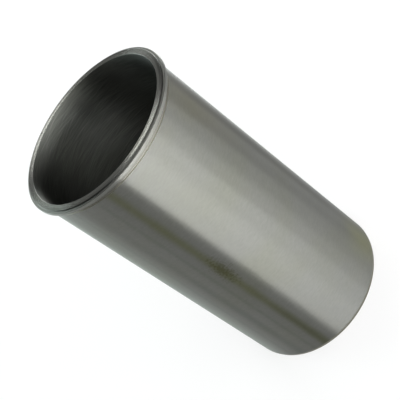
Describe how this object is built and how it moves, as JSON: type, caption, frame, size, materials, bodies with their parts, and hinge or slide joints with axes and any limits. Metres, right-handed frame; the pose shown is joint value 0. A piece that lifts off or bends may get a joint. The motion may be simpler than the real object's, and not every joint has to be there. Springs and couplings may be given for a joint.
{
  "type": "cylinder liner",
  "caption": "Thin-walled dry cylinder liner: a straight honed sleeve with a flange, a raised gasket ring and a relief groove at its top end.",
  "frame": {"origin": "centre of the bottom end face, on the bore axis", "axes": "+Z along the bore axis, from the bottom end to the flanged top end"},
  "size_m": [0.1158, 0.1158, 0.2162],
  "materials": {
    "liner_iron": "ground outside, honed inside, turned on the flange and its ring"
  },
  "bodies": {
    "root": {"cylinder_liner": "liner_iron"}
  },
  "joints": []
}
